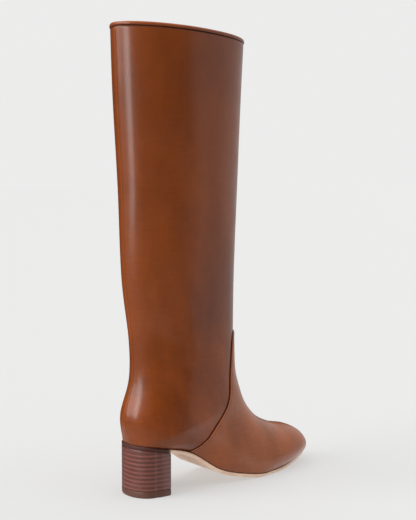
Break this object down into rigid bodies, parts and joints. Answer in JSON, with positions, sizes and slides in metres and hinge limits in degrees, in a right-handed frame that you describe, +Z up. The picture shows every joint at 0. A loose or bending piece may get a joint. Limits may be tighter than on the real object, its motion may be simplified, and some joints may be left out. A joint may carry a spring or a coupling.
{
  "type": "knee-high boot",
  "caption": "Knee-high pull-on leather boot for the right foot, with a high tongue-shaped vamp, a bound collar, a thin leather sole and a D-shaped stacked block heel.",
  "frame": {"origin": "middle of the boot's box, on the floor that the heel and the tread stand on", "axes": "+X towards the toe, +Y towards the inner side of the right foot, +Z up the shaft"},
  "size_m": [0.2602, 0.096, 0.4703],
  "materials": {
    "shaft_leather": "burnished cognac calf, glossy",
    "vamp_leather": "burnished cognac calf, glossy",
    "binding_leather": "dark brown edge binding, satin",
    "insole_leather": "natural lining leather, matt",
    "sole_leather": "natural sole leather, matt",
    "heel_stack": "stacked leather lifts, polished",
    "heel_rubber": "brown top-piece rubber, matt"
  },
  "bodies": {
    "root": {"upper": "shaft_leather", "vamp": "vamp_leather", "top_binding": "binding_leather", "insole": "insole_leather", "outsole": "sole_leather", "heel_stack": "heel_stack", "heel_tip": "heel_rubber"}
  },
  "joints": []
}
